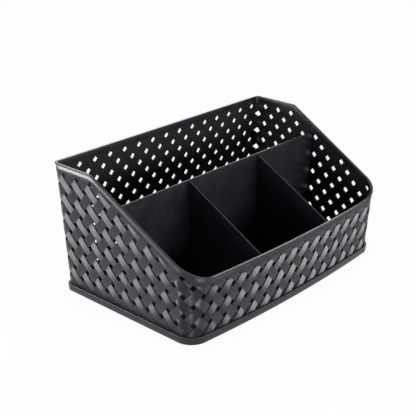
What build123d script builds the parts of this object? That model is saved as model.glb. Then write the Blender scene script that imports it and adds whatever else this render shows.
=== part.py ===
from build123d import *
import math
import os

# A moulded plastic basket with a woven look, open at the top, and a lift-out insert of dividers.
# Millimetres. X runs left to right, +Y points to the back and +Z up.
# The origin is on the surface that the basket stands on, at the middle of its overall box.

# Overall sizes
overall_width = 303.0            # over the bead, at the level part of the rim
overall_depth = 183.0            # from the bead at the middle of the front to the plinth at the back
overall_height = 137.5           # level rim at the back and along the rear of the sides
front_height = 64.5              # rim at the front
draft_angle = 4.0                # lean of the side and front walls; the back wall is upright

# Outline in plan, on the inside of the walls at the foot
back_corner_radius = 4.0
front_corner_radius = 14.0
front_bow_radius = 1500.0        # the front wall bulges slightly

# Rim outline, seen from the side
rim_level_length = 51.0          # level stretch of each side rim, from the back wall's inside
rim_slope_angle = 29.4           # slope of each side rim towards the front
knee_blend = 4.0                 # half length of the rounding where the slope starts
corner_blend = 12.0              # half length of the rounding where the slope ends

# Walls
wall_thickness = 1.6
floor_thickness = 2.4
plinth_height = 7.6
plinth_thickness = 4.3
rim_height = 6.6
rim_thickness = 2.3
bead_height = 2.2
bead_proud = 0.6                 # how far the bead stands out from the rim
bead_edge = 0.5                  # chamfer along the bead and the top of the rim

# Diamond holes between the woven strips, on a staggered grid of columns and rows
back_columns = 30                # column steps from one back corner to the other
side_columns = 33                # column steps from a back corner round to the middle of the front
side_wall_columns = 16           # columns of holes that belong to each side wall
row_step = 9.83
first_row_drop = 10.7            # from the level rim down to the middle of the top row of holes
hole_side = 5.5
hole_length = 4 * wall_thickness  # of the bar that cuts each hole
hole_rim_gap = 2.0               # least distance of a hole's middle below the rim, which covers its tip

# Divider insert
divider_thickness = 1.6
divider_clearance = 0.4          # between the insert and the basket's walls
divider_edge = 0.45              # rounding along the top edges
divider_edge_share = 0.4         # largest rounding, as a share of the thickness
rear_compartment_depth = 79.4    # at the foot, from the back wall to the long divider
long_divider_drop = 8.45         # top edge below the side rims, where it meets them
cross_divider_spacing = 103.4    # between the middles of the two cross dividers
cross_divider_rear_drop = 0.6    # top edge below the long divider's
cross_divider_front_drop = 3.0   # top edge below the front rim

# Fineness of the round stretches
corner_step = 9.0                # degrees
bow_step = 1.0                   # degrees
blend_steps = 6
smallest_step = 0.01             # cuts closer together than this count as one

lean = math.tan(math.radians(draft_angle))
bead_thickness = rim_thickness + bead_proud

# Inner outline in plan at the foot
half_width = overall_width / 2 - bead_thickness - lean * overall_height
back_y = overall_depth / 2 - plinth_thickness
front_y = -overall_depth / 2 + bead_thickness + lean * front_height
bow_center_y = front_y + front_bow_radius
front_corner_x = half_width - front_corner_radius
front_corner_y = bow_center_y - math.sqrt((front_bow_radius - front_corner_radius) ** 2 - front_corner_x**2)
back_corner_x = half_width - back_corner_radius
back_corner_y = back_y - back_corner_radius
bow_angle = math.asin(front_corner_x / (front_bow_radius - front_corner_radius))

# Ends of each stretch of the wall, as distances along the foot from the middle of the back wall
back_end = back_corner_x
back_corner_end = back_end + back_corner_radius * math.pi / 2
side_end = back_corner_end + back_corner_y - front_corner_y
front_corner_end = side_end + front_corner_radius * (math.pi / 2 - bow_angle)
wall_end = front_corner_end + front_bow_radius * bow_angle

# Column steps of the hole grid, which is spaced along the outside of the wall
corner_column = back_columns // 2
last_column = corner_column + side_columns
corner_column_place = (back_end + back_corner_end) / 2 + wall_thickness
corner_stretch = (front_corner_radius + lean * front_height / 2 + wall_thickness) / front_corner_radius
straight_length = side_end - corner_column_place
corner_length = (front_corner_end - side_end) * corner_stretch
back_step = corner_column_place / corner_column
side_step = (straight_length + corner_length + wall_end - front_corner_end) / side_columns

# Where the rim starts to slope, and how steeply it falls along the side and round the corner
knee = back_corner_end + rim_level_length - back_corner_radius
side_fall = math.tan(math.radians(rim_slope_angle))
corner_fall = (overall_height - front_height - side_fall * (side_end - knee)) / (front_corner_end - side_end)


def wall_frame(along):
    """Point at the foot, outward normal and lean per unit height, at a distance along the wall."""
    s = abs(along)
    if s <= back_end:
        point, normal = (s, back_y), (0.0, 1.0)
        tilt = (lean * s / back_end, 0.0)
    elif s <= back_corner_end:
        angle = math.pi / 2 - (s - back_end) / back_corner_radius
        normal = (math.cos(angle), math.sin(angle))
        point = (
            back_corner_x + back_corner_radius * normal[0],
            back_corner_y + back_corner_radius * normal[1],
        )
        tilt = (lean, 0.0)
    elif s <= side_end:
        point, normal = (half_width, back_corner_y - (s - back_corner_end)), (1.0, 0.0)
        tilt = (lean, 0.0)
    elif s <= front_corner_end:
        angle = -(s - side_end) / front_corner_radius
        normal = (math.cos(angle), math.sin(angle))
        point = (
            front_corner_x + front_corner_radius * normal[0],
            front_corner_y + front_corner_radius * normal[1],
        )
        tilt = (lean * normal[0], lean * normal[1])
    else:
        angle = (wall_end - s) / front_bow_radius
        normal = (math.sin(angle), -math.cos(angle))
        point = (front_bow_radius * normal[0], bow_center_y + front_bow_radius * normal[1])
        tilt = (lean * normal[0], lean * normal[1])
    side = -1 if along < 0 else 1
    return [(side * x, y) for x, y in (point, normal, tilt)]


def wall_point(along, height, depth):
    """Point of the wall, with depth counted outwards from the inside face."""
    point, normal, tilt = wall_frame(along)
    x = point[0] + tilt[0] * height + normal[0] * depth
    y = point[1] + tilt[1] * height + normal[1] * depth
    return Vector(x, y, height)


def ramp(distance, blend):
    """Zero before a bend and equal to the distance after it, rounded over the blend."""
    if distance <= -blend:
        return 0.0
    if distance >= blend:
        return distance
    return (distance + blend) ** 2 / (4 * blend)


def rim_top(along):
    """Height of the top of the rim."""
    s = abs(along)
    fall = side_fall * ramp(s - knee, knee_blend)
    fall += (corner_fall - side_fall) * ramp(s - side_end, knee_blend)
    fall -= corner_fall * ramp(s - front_corner_end, corner_blend)
    return overall_height - fall


def spread(start, end, step):
    """Evenly spaced distances from start to end, no further apart than step."""
    count = max(1, math.ceil((end - start) / step))
    return [start + (end - start) * i / count for i in range(count + 1)]


def half_stations():
    """Distances along one half of the wall at which its round stretches are cut into facets."""
    marks = [0.0, wall_end]
    marks += spread(back_end, back_corner_end, math.radians(corner_step) * back_corner_radius)
    marks += spread(side_end, front_corner_end, math.radians(corner_step) * front_corner_radius)
    marks += spread(front_corner_end, wall_end, math.radians(bow_step) * front_bow_radius)
    for bend, blend in ((knee, knee_blend), (side_end, knee_blend), (front_corner_end, corner_blend)):
        marks += spread(bend - blend, bend + blend, 2 * blend / blend_steps)
    return marks


def stations(start, end):
    """Distances from start to end at which a wall, rim or plinth is cut into facets."""
    half = half_stations()
    inside = [s for s in half + [-s for s in half] if start < s < end]
    marks = []
    for s in sorted([start, end] + inside):
        if not marks or s - marks[-1] > smallest_step:
            marks.append(s)
    marks[-1] = end
    return marks


def run(start, end, section):
    """Solid along the wall; section gives the (depth, height) corners at each distance."""
    wires = []
    for s in stations(start, end):
        wires.append(Wire.make_polygon([wall_point(s, height, depth) for depth, height in section(s)]))
    return Solid.make_loft(wires, ruled=True)


def joined_runs(spans, section):
    """One solid along several stretches of the wall that meet end to end."""
    return Part() + [run(start, end, section) for start, end in spans]


def plinth_section(along):
    return [(0, 0), (plinth_thickness, 0), (plinth_thickness, plinth_height), (0, plinth_height)]


def wall_section(along):
    top = rim_top(along) - rim_height
    return [(0, plinth_height), (wall_thickness, plinth_height), (wall_thickness, top), (0, top)]


def rim_section(along):
    top = rim_top(along)
    return [
        (0, top - rim_height),
        (rim_thickness, top - rim_height),
        (rim_thickness, top - bead_height),
        (bead_thickness, top - bead_height + bead_proud),
        (bead_thickness, top - bead_edge),
        (bead_thickness - bead_edge, top),
        (bead_edge, top),
        (0, top - bead_edge),
    ]


def column_place(column):
    """Distance along the wall of a column of holes, counted from the middle of the back wall."""
    if column <= corner_column:
        return column * back_step
    length = (column - corner_column) * side_step
    if length <= straight_length:
        return corner_column_place + length
    if length <= straight_length + corner_length:
        return side_end + (length - straight_length) / corner_stretch
    return front_corner_end + length - straight_length - corner_length


def hole_places(spans):
    """Distance and height of each hole of some stretches, from the rim down to the plinth."""
    reach = hole_side / math.sqrt(2)
    places = []
    for column in range(-last_column + 1, last_column + 1):
        along = math.copysign(column_place(abs(column)), column)
        if not any(start < along <= end for start, end in spans):
            continue
        row = column % 2
        height = overall_height - first_row_drop - row * row_step
        while height - reach > plinth_height:
            if height + hole_rim_gap < rim_top(along) - rim_height:
                places.append((along, height))
            height -= 2 * row_step
    return places


def hole(along, height):
    """Square bar on its corner, square to the wall."""
    _, normal, _ = wall_frame(along)
    outward = Vector(normal[0], normal[1], 0)
    middle = wall_point(along, height, wall_thickness / 2)
    plane = Plane(middle, x_dir=(-normal[1], normal[0], 0), z_dir=outward)
    return plane * Rot(Z=45) * Box(hole_side, hole_side, hole_length)


def woven_wall(*spans):
    """Wall along some stretches, pierced by its holes."""
    return joined_runs(spans, wall_section) - [hole(*place) for place in hole_places(spans)]


def floor_panel():
    """Flat floor inside the plinth."""
    marks = stations(-wall_end, wall_end)[:-1]
    wires = []
    for height in (0, floor_thickness):
        wires.append(Wire.make_polygon([wall_point(s, height, 0) for s in marks]))
    return Solid.make_loft(wires, ruled=True)


def front_inside(x, height):
    """Y of the inside of the bowed front wall."""
    return bow_center_y - math.sqrt((front_bow_radius + lean * height) ** 2 - x**2)


def rounded_plate(outline, plane):
    """Plate of the divider's thickness on both sides of a plane, with its top edges rounded."""
    plate = extrude(plane * make_face(Polyline(outline, close=True)), divider_thickness / 2, both=True)
    face = plate.faces().sort_by(Axis.Z)[-1]
    edges = face.edges().sort_by(Edge.length)[-2:]
    return fillet(edges, min(divider_edge, divider_edge_share * divider_thickness))


long_divider_y = back_y - rear_compartment_depth - divider_thickness / 2
long_divider_top = rim_top(back_corner_end + back_corner_y - long_divider_y) - long_divider_drop


def long_divider():
    """Upright plate from side to side."""
    foot = half_width + lean * floor_thickness - divider_clearance
    top = half_width + lean * long_divider_top - divider_clearance
    outline = [
        (-foot, floor_thickness),
        (foot, floor_thickness),
        (top, long_divider_top),
        (-top, long_divider_top),
    ]
    return rounded_plate(outline, Plane.XZ.offset(-long_divider_y))


def cross_divider(side):
    """Upright plate from the long divider to the front wall, with a sloping top."""
    x = cross_divider_spacing / 2
    outer_face = x + divider_thickness / 2
    rear = long_divider_y - divider_thickness / 2
    rear_top = long_divider_top - cross_divider_rear_drop
    front_top = front_height - cross_divider_front_drop
    foot_front = front_inside(outer_face, floor_thickness) + divider_clearance
    top_front = front_inside(outer_face, front_top) + divider_clearance
    outline = [
        (rear, floor_thickness),
        (foot_front, floor_thickness),
        (top_front, front_top),
        (rear, rear_top),
    ]
    return rounded_plate(outline, Plane.YZ.offset(side * x))


# Each wall ends half a column from the nearest column of holes, so that no hole is split
side_start = column_place(corner_column - 0.5)
side_stop = column_place(corner_column + side_wall_columns - 0.5)

all_round = ((0, wall_end), (-wall_end, 0))

nodes = {
    "floor_panel": floor_panel(),
    "plinth_band": joined_runs(all_round, plinth_section),
    "woven_back_wall": woven_wall((-side_start, side_start)),
    "woven_right_wall": woven_wall((side_start, side_stop)),
    "woven_left_wall": woven_wall((-side_stop, -side_start)),
    "woven_front_wall": woven_wall((side_stop, wall_end), (-wall_end, -side_stop)),
    "top_rim": joined_runs(all_round, rim_section),
    "long_divider": long_divider(),
    "left_cross_divider": cross_divider(-1),
    "right_cross_divider": cross_divider(1),
}

os.makedirs("parts", exist_ok=True)
for name, shape in nodes.items():
    export_step(shape, f"parts/{name}.step")
    size = shape.bounding_box().size
    print(f"{name}: {size.X:.1f} x {size.Y:.1f} x {size.Z:.1f} mm, {shape.volume / 1000:.1f} cm3")
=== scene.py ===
import math

import bmesh
import bpy
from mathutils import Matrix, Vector


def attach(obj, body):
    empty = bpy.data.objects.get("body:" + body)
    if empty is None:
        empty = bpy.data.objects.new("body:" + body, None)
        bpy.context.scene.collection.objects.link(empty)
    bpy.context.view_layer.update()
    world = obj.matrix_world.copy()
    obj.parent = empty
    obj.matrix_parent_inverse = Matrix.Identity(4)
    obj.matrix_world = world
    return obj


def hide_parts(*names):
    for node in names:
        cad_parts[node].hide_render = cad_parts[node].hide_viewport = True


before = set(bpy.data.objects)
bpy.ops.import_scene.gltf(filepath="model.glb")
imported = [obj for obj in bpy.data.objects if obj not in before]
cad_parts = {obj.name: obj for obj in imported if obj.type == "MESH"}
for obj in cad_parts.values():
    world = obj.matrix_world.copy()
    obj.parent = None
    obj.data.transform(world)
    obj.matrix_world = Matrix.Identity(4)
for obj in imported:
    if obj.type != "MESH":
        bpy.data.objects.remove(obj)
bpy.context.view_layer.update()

# A moulded basket with a woven look and a lift-out insert of dividers. Metres, in the part's frame.

# Overall sizes of the basket, as in the solids
overall_width = 0.303
overall_depth = 0.183
overall_height = 0.1375
front_height = 0.0645
lean = math.tan(math.radians(4.0))      # of the side and front walls

# Outline in plan, on the inside of the walls at the foot
back_corner_radius = 0.004
front_corner_radius = 0.014
front_bow_radius = 1.5

# Rim outline, seen from the side
rim_level_length = 0.051                # level stretch of each side rim, from the back wall's inside
rim_slope = math.tan(math.radians(29.4))
knee_blend = 0.004                      # half length of the rounding where the slope starts
corner_blend = 0.012                    # half length of the rounding where the slope ends

# Walls, plinth and rim
wall_thickness = 0.0016
plinth_height = 0.0076
plinth_thickness = 0.0043
plinth_rounding = 0.0006
rim_height = 0.0066
rim_thickness = 0.0023
bead_thickness = 0.0029                 # of the lip along the top of the rim
lip_height = 0.0013
lip_rounding = 0.0005
lip_lower_rounding = 0.0003
groove_height = 0.0004                  # of the fine groove under the lip
groove_depth = 0.0003
slant_height = 0.0056                   # the band starts to slant in this far below the top
slant_depth = 0.0012                    # and has come in by this much at the groove
slant_bends = (0.15, 0.3)               # shares of the slant where it bends into the band
sweep_step = 0.0010                     # along the rim and the plinth
rounding_steps = 5
ring_sharp_angle = 40                   # degrees, above which edges of the rim and the plinth stay sharp

# Grid of the weave: strips cross where column and row add up to an odd number, holes lie between
back_columns = 30                       # column steps from one back corner to the other
side_columns = 33                       # column steps from a back corner round to the middle of the front
side_wall_columns = 16                  # columns that belong to each side wall
rows = range(-1, 15)                    # from the level rim down to below the plinth
row_step = 0.00983
first_row_drop = 0.0107                 # from the level rim down to the top row of holes

# Woven strips, with depths counted outwards from the inside of the wall
strip_width = 0.0089
strip_middle = 0.0020                   # depth of a strip where it passes from over to under
strip_swing = 0.00032                   # how far it swings out from there and in
strip_foot = 0.0012                     # the strips' underside, within the wall
strip_reach = 0.86                      # half length of a strip's visible arch, in grid steps
strip_steps = 14                        # along the arch
rib_count = 6
rib_height = 0.00038
strip_bevel = 0.0005                    # plain margin beside the ribs
strip_bevel_drop = 0.0002               # of the margin's outer edge below the ribs' crests
strip_sharp_angle = 32                  # degrees, above which a strip's edges stay sharp
calm_length = 0.018                     # the weave is flatter this near to a back corner
calm_share = 0.3
rim_blend = 0.0045                      # over which the strips run into the rim
rim_cover = 0.0001                      # the strips reach the rim this far under its face
rim_dive = 0.5                          # and go in by this share of their height behind its lower edge
hidden_margin = 0.0012                  # faces this far inside the rim or the plinth are left out

# Plastic
patch_scale = 60.0                      # per metre, of the patches of uneven colour and sheen
patch_detail = 4.0
patch_range = (0.35, 0.65)              # of the noise, over which the colour goes from dark to light
sheen_swing = 0.05                      # of the roughness, both ways
grain_scale = 2500.0                    # per metre
grain_detail = 2.0
grain_depth = 0.0001

# Photograph: camera in the part's frame
image_pixels = 416
focal_pixels = 958.62
camera_place = Vector((-0.677766, -0.59003, 0.450108))
camera_azimuth = math.radians(-47.592)
camera_elevation = math.radians(23.006)
sensor_width = 36.0

# White studio
floor_size = 6.0
floor_drop = 0.0001                     # keeps the floor clear of the part's underside
floor_grey = 0.9
floor_roughness = 0.9
floor_white_share = 0.94                # of what the camera sees; the rest shows the part's shadow
world_white_share = 1.0
world_strength = 0.1

# Soft lamps round the part, all facing it
lamp_target = Vector((0, 0, 0.06))
lamp_distance = 1.6
# Name, degrees to the right of the camera, elevation, width, height and watts
lamps = (
    ("left_softbox", -48, 9, 0.7, 0.5, 14),
    ("right_softbox", 58, 9, 1.1, 0.5, 26),
    ("rear_left_softbox", -81, 3.5, 0.7, 0.5, 28),
    ("back_softbox", 180, 23, 0.8, 0.5, 5),
    ("top_softbox", 0, 90, 0.8, 0.8, 10),
)

# Inner outline in plan at the foot
half_width = overall_width / 2 - bead_thickness - lean * overall_height
back_y = overall_depth / 2 - plinth_thickness
front_y = -overall_depth / 2 + bead_thickness + lean * front_height
bow_center_y = front_y + front_bow_radius
corner_center_radius = front_bow_radius - front_corner_radius
front_corner_x = half_width - front_corner_radius
front_corner_y = bow_center_y - math.sqrt(corner_center_radius**2 - front_corner_x**2)
back_corner_x = half_width - back_corner_radius
back_corner_y = back_y - back_corner_radius
bow_angle = math.asin(front_corner_x / corner_center_radius)

# Ends of each stretch of the wall, as distances along the foot from the middle of the back wall
back_end = back_corner_x
back_corner_end = back_end + back_corner_radius * math.pi / 2
side_end = back_corner_end + back_corner_y - front_corner_y
front_corner_end = side_end + front_corner_radius * (math.pi / 2 - bow_angle)
wall_end = front_corner_end + front_bow_radius * bow_angle

# Column steps of the grid, which is spaced along the outside of the wall
corner_column = back_columns // 2
last_column = corner_column + side_columns
corner_column_place = (back_end + back_corner_end) / 2 + wall_thickness
corner_stretch = (front_corner_radius + lean * front_height / 2 + wall_thickness) / front_corner_radius
straight_length = side_end - corner_column_place
corner_length = (front_corner_end - side_end) * corner_stretch
back_step = corner_column_place / corner_column
side_step = (straight_length + corner_length + wall_end - front_corner_end) / side_columns
diagonal_step = math.hypot(side_step, row_step)

# Where the rim starts to slope, and how steeply it falls round the front corner
knee = back_corner_end + rim_level_length - back_corner_radius
corner_drop = overall_height - front_height - rim_slope * (side_end - knee)
corner_fall = corner_drop / (front_corner_end - side_end)


def wall_point(along, height, depth):
    """Point of the wall at a distance along the foot, with depth counted outwards from the inside."""
    s = abs(along)
    if s <= back_end:
        x, y = s, back_y
        normal = (0.0, 1.0)
        tilt = (lean * s / back_end, 0.0)
    elif s <= back_corner_end:
        angle = math.pi / 2 - (s - back_end) / back_corner_radius
        normal = (math.cos(angle), math.sin(angle))
        x = back_corner_x + back_corner_radius * normal[0]
        y = back_corner_y + back_corner_radius * normal[1]
        tilt = (lean, 0.0)
    elif s <= side_end:
        x, y = half_width, back_corner_y - (s - back_corner_end)
        normal = (1.0, 0.0)
        tilt = (lean, 0.0)
    elif s <= front_corner_end:
        angle = -(s - side_end) / front_corner_radius
        normal = (math.cos(angle), math.sin(angle))
        x = front_corner_x + front_corner_radius * normal[0]
        y = front_corner_y + front_corner_radius * normal[1]
        tilt = (lean * normal[0], lean * normal[1])
    else:
        angle = (wall_end - s) / front_bow_radius
        normal = (math.sin(angle), -math.cos(angle))
        x = front_bow_radius * normal[0]
        y = bow_center_y + front_bow_radius * normal[1]
        tilt = (lean * normal[0], lean * normal[1])
    x += tilt[0] * height + normal[0] * depth
    y += tilt[1] * height + normal[1] * depth
    return (math.copysign(x, along), y, height)


def ramp(distance, blend):
    """Zero before a bend and equal to the distance after it, rounded over the blend."""
    if distance <= -blend:
        return 0.0
    if distance >= blend:
        return distance
    return (distance + blend) ** 2 / (4 * blend)


def rim_top(along):
    """Height of the top of the rim."""
    s = abs(along)
    fall = rim_slope * ramp(s - knee, knee_blend)
    fall += (corner_fall - rim_slope) * ramp(s - side_end, knee_blend)
    fall -= corner_fall * ramp(s - front_corner_end, corner_blend)
    return overall_height - fall


def column_place(column):
    """Distance along the wall of a column of the grid, counted from the middle of the back wall."""
    column = (column + last_column) % (2 * last_column) - last_column
    c = abs(column)
    length = (c - corner_column) * side_step
    if c <= corner_column:
        place = c * back_step
    elif length <= straight_length:
        place = corner_column_place + length
    elif length <= straight_length + corner_length:
        place = side_end + (length - straight_length) / corner_stretch
    else:
        place = front_corner_end + length - straight_length - corner_length
    return math.copysign(place, column)


def row_height(row):
    """Height of a row of the grid, counted down from the top row of holes."""
    return overall_height - first_row_drop - row * row_step


def new_piece(name, points, faces, sharp_angle):
    """Mesh object with smooth faces and sharp edges above an angle."""
    mesh = bpy.data.meshes.new(name)
    mesh.from_pydata(points, [], faces)
    work = bmesh.new()
    work.from_mesh(mesh)
    bmesh.ops.delete(work, geom=[v for v in work.verts if not v.link_faces], context="VERTS")
    work.to_mesh(mesh)
    work.free()
    mesh.polygons.foreach_set("use_smooth", [True] * len(mesh.polygons))
    mesh.set_sharp_from_angle(angle=math.radians(sharp_angle))
    mesh.update()
    piece = bpy.data.objects.new(name, mesh)
    bpy.context.scene.collection.objects.link(piece)
    return piece


def rounded_corner(center, start_angle, end_angle, radius):
    """Points (depth, height) of an arc."""
    points = []
    for i in range(rounding_steps + 1):
        angle = math.radians(start_angle + (end_angle - start_angle) * i / rounding_steps)
        points.append((center[0] + radius * math.cos(angle), center[1] + radius * math.sin(angle)))
    return points


def ring(name, section):
    """Closed sweep round the wall; section gives the (depth, height) corners at each distance."""
    count = math.ceil(2 * wall_end / sweep_step)
    points, faces = [], []
    for i in range(count):
        along = 2 * wall_end * i / count - wall_end
        points += [wall_point(along, height, depth) for depth, height in section(along)]
    size = len(points) // count
    for i in range(count):
        here = i * size
        ahead = (i + 1) % count * size
        for j in range(size):
            after = (j + 1) % size
            faces.append((here + j, ahead + j, ahead + after, here + after))
    return new_piece(name, points, faces, ring_sharp_angle)


def plinth_section(along):
    """Plain band with rounded outer edges, the same at every distance."""
    r = plinth_rounding
    lower = rounded_corner((plinth_thickness - r, r), -90, 0, r)
    upper = rounded_corner((plinth_thickness - r, plinth_height - r), 0, 90, r)
    return [(0, 0)] + lower + upper + [(0, plinth_height)]


def rim_section(along):
    """Plain band that slants in to a fine groove, and the rounded lip above it."""
    top = rim_top(along)
    under = top - lip_height
    r = lip_rounding
    low = lip_lower_rounding
    bend = top - slant_height
    groove = under - groove_height
    inner = rim_thickness - slant_depth
    band = [(0, top - rim_height), (rim_thickness, top - rim_height)]
    band.append((rim_thickness, bend - slant_bends[0] * (groove - bend)))
    for share in slant_bends + (1,):
        band.append((rim_thickness - share * slant_depth, bend + share * (groove - bend)))
    return (
        band
        + [(inner - groove_depth, groove), (inner - groove_depth, under)]
        + rounded_corner((bead_thickness - low, under + low), -90, 0, low)
        + rounded_corner((bead_thickness - r, top - r), 0, 90, r)
        + rounded_corner((r, top - r), 90, 180, r)
    )


def strip_section():
    """Points across a strip as (offset from its middle, depth below its crests), with V-shaped ribs."""
    ribbed_width = strip_width - 2 * strip_bevel
    points = [(-strip_width / 2, strip_bevel_drop)]
    for i in range(2 * rib_count + 1):
        drop = 0 if i % 2 else rib_height
        points.append(((i / (2 * rib_count) - 0.5) * ribbed_width, drop))
    points.append((strip_width / 2, strip_bevel_drop))
    return points


def strip_depth(step, drop, along, height):
    """Depth of a strip at a step from its crossing. Its crest runs into the rim's face, and its swing
    is smaller round the back corners."""
    corner = min(1.0, abs(abs(along) - corner_column_place) / calm_length)
    swing = strip_swing * (calm_share + (1 - calm_share) * corner)
    below_rim = rim_top(along) - rim_height - height
    clear = min(1.0, max(0.0, below_rim / rim_blend))
    share = clear * clear * (3 - 2 * clear)
    sunk = (1 - share) * (strip_middle + swing - rim_thickness + rim_cover)
    sunk += rim_dive * max(0.0, -below_rim)
    return strip_middle + swing * math.cos(math.pi * step) - share * drop - sunk


def strip_turn(column):
    """-1 for strips that fall to the right, as seen from outside, and 1 for those to the left."""
    return -1 if column % 2 == 0 else 1


def strip_points(section, column, row):
    """Points of a strip as (distance along the wall, height, depth), in lines across it. Each line
    starts and ends at the strip's foot."""
    turn = strip_turn(column)
    points = []
    for i in range(strip_steps + 1):
        step = strip_reach * (2 * i / strip_steps - 1)
        line = []
        for offset, drop in section:
            aside = offset / diagonal_step
            along = column_place(column + step + aside)
            height = row_height(row + turn * (step - aside))
            line.append((along, height, strip_depth(step, drop, along, height)))
        feet = [(along, height, strip_foot) for along, height, _ in (line[0], line[-1])]
        points += [feet[0]] + line + [feet[1]]
    return points


def visible(along, height):
    """Whether a point of the weave shows between the plinth and the rim."""
    return plinth_height - hidden_margin < height < rim_top(along) - rim_height + hidden_margin


def strip_faces(shown, size, turn):
    """Faces between a strip's points, of which at least one shows."""
    faces = []
    for i in range(strip_steps):
        for j in range(size - 1):
            a = i * size + j
            quad = (a, a + 1, a + size + 1, a + size)
            if any(shown[k] for k in quad):
                faces.append(quad if turn > 0 else quad[::-1])
    return faces


def weave(name, columns):
    """Woven strips whose tops lie on some columns of the grid."""
    section = strip_section()
    size = len(section) + 2
    points, faces = [], []
    for column in columns:
        for row in rows:
            if (column + row) % 2 == 0:
                continue
            strip = strip_points(section, column, row)
            shown = [visible(along, height) for along, height, _ in strip]
            first = len(points)
            points += [wall_point(*place) for place in strip]
            for face in strip_faces(shown, size, strip_turn(column)):
                faces.append(tuple(first + k for k in face))
    return new_piece(name, points, faces, strip_sharp_angle)


def plastic(name, dark, light, roughness, gloss, grain):
    """Moulded plastic with slightly uneven colour and sheen and a fine grain."""
    material = bpy.data.materials.new(name)
    material.use_nodes = True
    nodes, links = material.node_tree.nodes, material.node_tree.links
    shader = nodes["Principled BSDF"]
    shader.inputs["Specular IOR Level"].default_value = gloss
    place = nodes.new("ShaderNodeTexCoord")
    patches = nodes.new("ShaderNodeTexNoise")
    patches.inputs["Scale"].default_value = patch_scale
    patches.inputs["Detail"].default_value = patch_detail
    links.new(place.outputs["Object"], patches.inputs["Vector"])
    colour = nodes.new("ShaderNodeValToRGB")
    for element, position, shade in zip(colour.color_ramp.elements, patch_range, (dark, light)):
        element.position = position
        element.color = (*shade, 1)
    links.new(patches.outputs["Fac"], colour.inputs["Fac"])
    links.new(colour.outputs["Color"], shader.inputs["Base Color"])
    sheen = nodes.new("ShaderNodeMapRange")
    sheen.inputs["To Min"].default_value = roughness - sheen_swing
    sheen.inputs["To Max"].default_value = roughness + sheen_swing
    links.new(patches.outputs["Fac"], sheen.inputs["Value"])
    links.new(sheen.outputs["Result"], shader.inputs["Roughness"])
    fine = nodes.new("ShaderNodeTexNoise")
    fine.inputs["Scale"].default_value = grain_scale
    fine.inputs["Detail"].default_value = grain_detail
    links.new(place.outputs["Object"], fine.inputs["Vector"])
    bump = nodes.new("ShaderNodeBump")
    bump.inputs["Strength"].default_value = grain
    bump.inputs["Distance"].default_value = grain_depth
    links.new(fine.outputs["Fac"], bump.inputs["Height"])
    links.new(bump.outputs["Normal"], shader.inputs["Normal"])
    return material


def dress(piece, material):
    """Gives a piece its one material."""
    piece.data.materials.clear()
    piece.data.materials.append(material)


# Materials
woven_plastic = plastic(
    "woven_plastic",
    dark=(0.008, 0.0078, 0.0108),
    light=(0.012, 0.0117, 0.0160),
    roughness=0.26,
    gloss=0.33,
    grain=0.08,
)
smooth_plastic = plastic(
    "smooth_plastic",
    dark=(0.0075, 0.0075, 0.0083),
    light=(0.0105, 0.0105, 0.0116),
    roughness=0.42,
    gloss=0.18,
    grain=0.05,
)
divider_plastic = plastic(
    "divider_plastic",
    dark=(0.0060, 0.0058, 0.0078),
    light=(0.0100, 0.0096, 0.0128),
    roughness=0.36,
    gloss=0.22,
    grain=0.03,
)

# Rim, plinth and weave
rim = ring("rim", rim_section)
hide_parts("top_rim")
plinth = ring("plinth", plinth_section)
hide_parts("plinth_band")
front_columns = list(range(corner_column + side_wall_columns, last_column + 1))
pieces = [
    rim,
    plinth,
    weave("back_weave", range(-corner_column + 1, corner_column)),
    weave("right_weave", range(corner_column, front_columns[0])),
    weave("left_weave", range(-front_columns[0] + 1, -corner_column + 1)),
    weave("front_weave", front_columns + [-c for c in front_columns[:-1]]),
]
for piece in pieces:
    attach(piece, "basket")
    dress(piece, woven_plastic)

# Floor, pierced walls and dividers, which show as they are
walls = ("woven_back_wall", "woven_left_wall", "woven_right_wall", "woven_front_wall")
for node in ("floor_panel",) + walls:
    dress(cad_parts[node], smooth_plastic)
for node in ("long_divider", "left_cross_divider", "right_cross_divider"):
    dress(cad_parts[node], divider_plastic)


def softbox(name, turn, elevation, width, height, power):
    """Rectangular lamp facing the part, turned away from the camera's side by an angle in degrees."""
    angle = camera_azimuth + math.radians(turn)
    rise = math.radians(elevation)
    ground = math.cos(rise)
    direction = Vector((math.sin(angle) * ground, -math.cos(angle) * ground, math.sin(rise)))
    lamp = bpy.data.lights.new(name, "AREA")
    lamp.shape = "RECTANGLE"
    lamp.size = width
    lamp.size_y = height
    lamp.energy = power
    light = bpy.data.objects.new(name, lamp)
    light.location = lamp_target + lamp_distance * direction
    light.rotation_euler = (-direction).to_track_quat("-Z", "Y").to_euler()
    bpy.context.scene.collection.objects.link(light)


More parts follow.
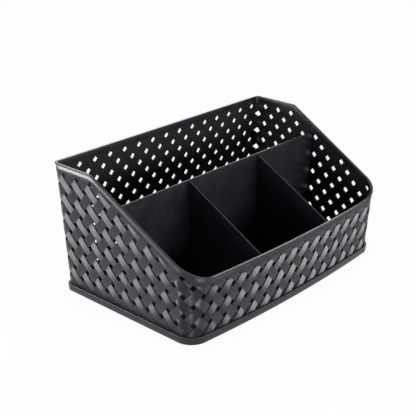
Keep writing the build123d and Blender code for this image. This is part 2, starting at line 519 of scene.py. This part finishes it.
def white_for_the_camera(tree, shader, output, share):
    """Shows white to the camera and in reflections, and lights the part with the shader itself."""
    nodes, links = tree.nodes, tree.links
    path = nodes.new("ShaderNodeLightPath")
    rays = path.outputs["Is Camera Ray"]
    for kind in ("Is Glossy Ray", "Is Transmission Ray"):
        either = nodes.new("ShaderNodeMath")
        either.operation = "MAXIMUM"
        links.new(rays, either.inputs[0])
        links.new(path.outputs[kind], either.inputs[1])
        rays = either.outputs["Value"]
    on_surface = output.type == "OUTPUT_MATERIAL"
    white = nodes.new("ShaderNodeEmission" if on_surface else "ShaderNodeBackground")
    white.inputs["Strength"].default_value = 1.0
    white.inputs["Color"].default_value = (1, 1, 1, 1)
    seen = nodes.new("ShaderNodeMath")
    seen.operation = "MULTIPLY"
    seen.inputs[1].default_value = share
    links.new(rays, seen.inputs[0])
    mix = nodes.new("ShaderNodeMixShader")
    links.new(seen.outputs["Value"], mix.inputs["Fac"])
    links.new(shader.outputs[0], mix.inputs[1])
    links.new(white.outputs[0], mix.inputs[2])
    links.new(mix.outputs["Shader"], output.inputs["Surface"])


# White floor
floor_mesh = bpy.data.meshes.new("floor")
half = floor_size / 2
corners = [(x, y, -floor_drop) for x, y in ((-half, -half), (half, -half), (half, half), (-half, half))]
floor_mesh.from_pydata(corners, [], [(0, 1, 2, 3)])
floor = bpy.data.objects.new("floor", floor_mesh)
bpy.context.scene.collection.objects.link(floor)
floor_paint = bpy.data.materials.new("floor_paint")
floor_paint.use_nodes = True
floor_tree = floor_paint.node_tree
floor_shader = floor_tree.nodes["Principled BSDF"]
floor_shader.inputs["Base Color"].default_value = (floor_grey, floor_grey, floor_grey, 1)
floor_shader.inputs["Roughness"].default_value = floor_roughness
white_for_the_camera(floor_tree, floor_shader, floor_tree.nodes["Material Output"], floor_white_share)
floor_mesh.materials.append(floor_paint)

# White surroundings
world = bpy.data.worlds.new("studio")
world.use_nodes = True
fill = world.node_tree.nodes["Background"]
fill.inputs["Color"].default_value = (1, 1, 1, 1)
fill.inputs["Strength"].default_value = world_strength
white_for_the_camera(world.node_tree, fill, world.node_tree.nodes["World Output"], world_white_share)
bpy.context.scene.world = world

for lamp in lamps:
    softbox(*lamp)

# Camera
scene = bpy.context.scene
scene.view_settings.view_transform = "Standard"
camera_data = bpy.data.cameras.new("camera")
camera_data.sensor_width = sensor_width
camera_data.lens = sensor_width * focal_pixels / image_pixels
camera = bpy.data.objects.new("camera", camera_data)
looking = Vector((
    -math.sin(camera_azimuth) * math.cos(camera_elevation),
    math.cos(camera_azimuth) * math.cos(camera_elevation),
    -math.sin(camera_elevation),
))
camera.location = camera_place
camera.rotation_euler = looking.to_track_quat("-Z", "Y").to_euler()
scene.collection.objects.link(camera)
scene.camera = camera
